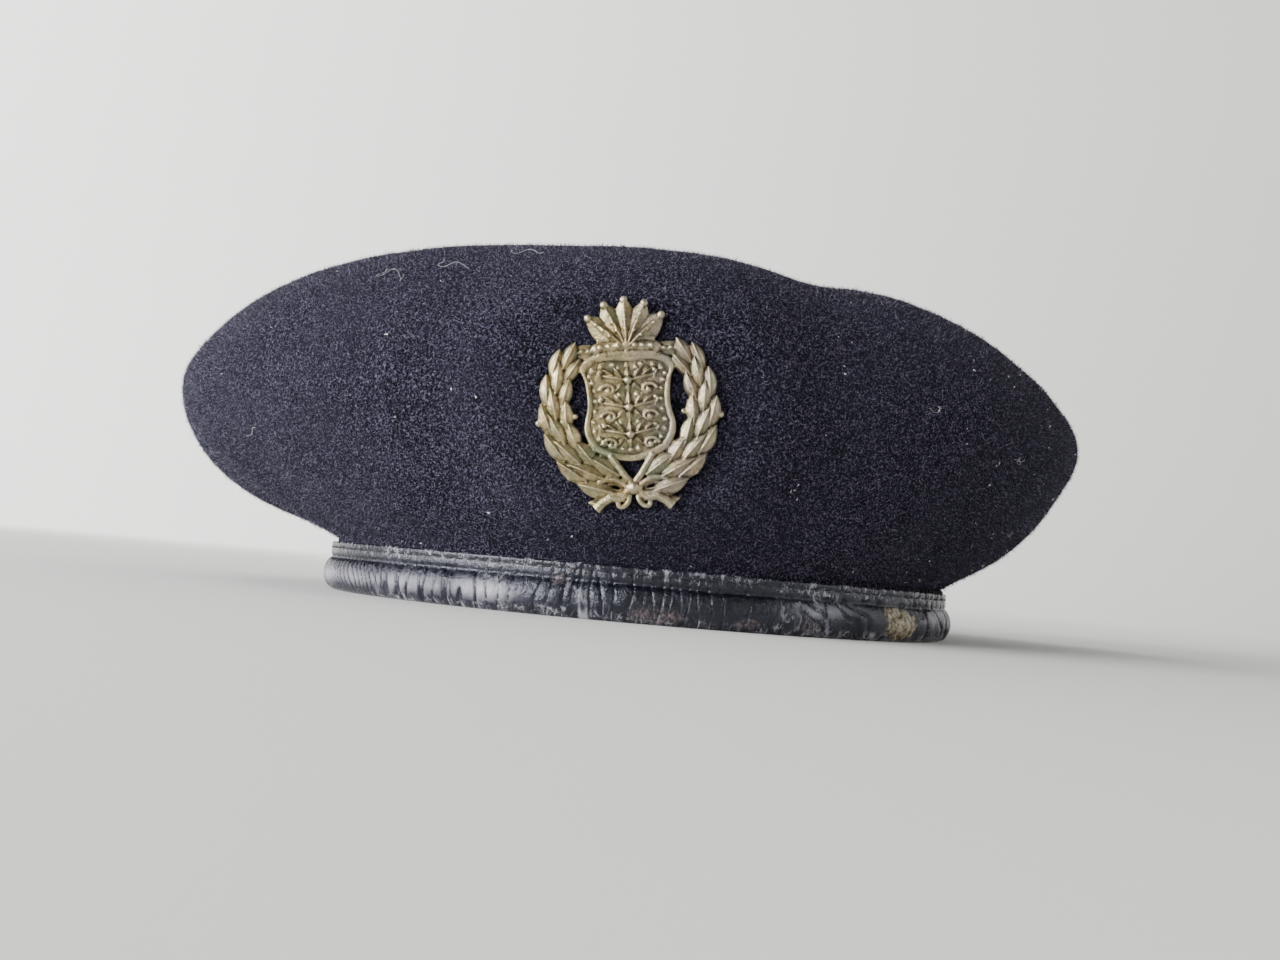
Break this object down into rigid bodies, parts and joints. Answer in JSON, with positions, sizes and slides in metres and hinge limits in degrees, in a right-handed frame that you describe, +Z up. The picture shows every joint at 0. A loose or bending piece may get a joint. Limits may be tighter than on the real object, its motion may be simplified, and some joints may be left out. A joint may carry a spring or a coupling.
{
  "type": "beret",
  "caption": "Dark navy felt beret with a worn black leather binding round its opening and a tarnished cast metal wreath badge at the front.",
  "frame": {"origin": "middle of the beret's bounding box, on the surface that its binding rests on", "axes": "+Z up, out of the top of the crown; -Y towards the front, where the badge is; +X towards the right of a picture taken from the front"},
  "size_m": [0.2534, 0.2456, 0.0877],
  "materials": {
    "felt": "matte",
    "leather": "satin",
    "badge_metal": "satin",
    "nut_metal": "satin"
  },
  "bodies": {
    "root": {"crown": "felt", "leather_binding": "leather", "badge": "badge_metal", "badge_nut": "nut_metal"}
  },
  "joints": []
}
